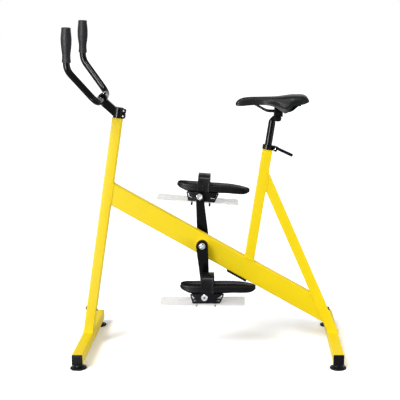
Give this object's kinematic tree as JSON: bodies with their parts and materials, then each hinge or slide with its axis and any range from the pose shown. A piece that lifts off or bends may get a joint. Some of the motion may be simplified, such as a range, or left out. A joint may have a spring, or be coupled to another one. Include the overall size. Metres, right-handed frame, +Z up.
{
  "type": "aqua bike",
  "caption": "Underwater exercise bike with a yellow square-tube frame, strapped foot-bed pedals with resistance plates, upright grips and an adjustable saddle.",
  "frame": {"origin": "on the floor, midway between the two base tubes and between the bike's two sides", "axes": "+Z up, +X towards the rear base tube (the saddle end), +Y towards the rider's right"},
  "size_m": [1.0298, 0.552, 1.2681],
  "materials": {
    "yellow_coat": "gloss powder coat",
    "black_coat": "gloss",
    "black_plastic": "satin",
    "black_rubber": "satin",
    "strap_rubber": "satin",
    "grip_foam": "matte foam",
    "saddle_skin": "satin vinyl",
    "stainless_steel": "brushed",
    "clear_plate": "translucent frosted"
  },
  "bodies": {
    "frame": {"front_post": "yellow_coat", "rear_stay": "yellow_coat", "main_beam": "yellow_coat", "beam_pad": "black_rubber", "seat_tube": "yellow_coat", "front_base_tube": "yellow_coat", "rear_base_tube": "yellow_coat", "front_leg_bolt": "stainless_steel", "rear_leg_bolt": "stainless_steel", "front_cap_left": "black_plastic", "front_cap_right": "black_plastic", "rear_cap_left": "black_plastic", "rear_cap_right": "black_plastic", "front_foot_left": "black_rubber", "front_foot_right": "black_rubber", "rear_foot_left": "black_rubber", "rear_foot_right": "black_rubber", "bb_shell": "yellow_coat", "bb_cup_left": "black_plastic", "bb_cup_right": "black_plastic", "seat_sleeve": "yellow_coat", "seat_collar": "black_coat", "qr_skewer": "stainless_steel", "steerer_stub": "yellow_coat"},
    "crankset": {"bb_spindle": "stainless_steel", "crank_left": "black_coat", "crank_right": "black_coat", "crank_bolt_left": "stainless_steel", "crank_bolt_right": "stainless_steel", "pedal_axle_left": "stainless_steel", "pedal_axle_right": "stainless_steel", "pedal_axle_nut_left": "stainless_steel", "pedal_axle_nut_right": "stainless_steel"},
    "pedal_left": {"pedal_bracket_left": "black_plastic", "pedal_bed_left": "black_plastic", "pedal_strap_left": "strap_rubber", "resistance_plate_left": "clear_plate", "plate_screw_front_left": "stainless_steel", "plate_screw_rear_left": "stainless_steel"},
    "pedal_right": {"pedal_bracket_right": "black_plastic", "pedal_bed_right": "black_plastic", "pedal_strap_right": "strap_rubber", "resistance_plate_right": "clear_plate", "plate_screw_front_right": "stainless_steel", "plate_screw_rear_right": "stainless_steel"},
    "quick_release": {"qr_lever": "black_coat"},
    "seat_mast": {"seat_post": "black_coat"},
    "saddle_head": {"saddle_cradle": "black_coat", "saddle_clamp": "black_coat", "saddle_clamp_bolt": "stainless_steel"},
    "saddle": {"saddle_rails": "black_coat", "saddle_shell": "black_plastic", "saddle_cover": "saddle_skin"},
    "stem": {"stem_body": "black_coat", "stem_faceplate": "black_coat", "stem_pinch_bolt_1": "stainless_steel", "stem_pinch_bolt_2": "stainless_steel"},
    "bars": {"handlebar": "black_coat", "grip_left": "grip_foam", "grip_right": "grip_foam"}
  },
  "joints": [
    {"name": "crank_spin", "type": "hinge", "parent": "frame", "child": "crankset", "pos_m": [-0.0287, 0, 0.4189], "axis": [0, -1, 0], "continuous": true},
    {"name": "pedal_left_spin", "type": "hinge", "parent": "crankset", "child": "pedal_left", "pos_m": [-0.01649, -0.107, 0.24433], "axis": [0, -1, 0], "continuous": true},
    {"name": "pedal_right_spin", "type": "hinge", "parent": "crankset", "child": "pedal_right", "pos_m": [-0.04091, 0.107, 0.59347], "axis": [0, -1, 0], "continuous": true},
    {"name": "seat_height", "type": "slide", "parent": "frame", "child": "seat_mast", "axis": [0.1599, 0, 0.9871], "range_m": [-0.075, 0.11]},
    {"name": "seat_lever", "type": "hinge", "parent": "frame", "child": "quick_release", "pos_m": [0.25208, -0.0163, 0.79031], "axis": [-0.4147, 0, -0.91], "range_deg": [0, 130]},
    {"name": "saddle_tilt", "type": "hinge", "parent": "seat_mast", "child": "saddle_head", "pos_m": [0.26157, 0, 0.90518], "axis": [0, 1, 0], "range_deg": [-8, 8]},
    {"name": "saddle_slide", "type": "slide", "parent": "saddle_head", "child": "saddle", "axis": [1, 0, 0], "range_m": [-0.015, 0.01]},
    {"name": "stem_turn", "type": "hinge", "parent": "frame", "child": "stem", "pos_m": [-0.34596, 0, 0.903], "axis": [0.1599, 0, 0.9871], "range_deg": [-30, 30]},
    {"name": "bar_tilt", "type": "hinge", "parent": "stem", "child": "bars", "pos_m": [-0.40045, 0, 0.97941], "axis": [0.0114, 0.9974, 0.0706], "range_deg": [-20, 20]}
  ]
}
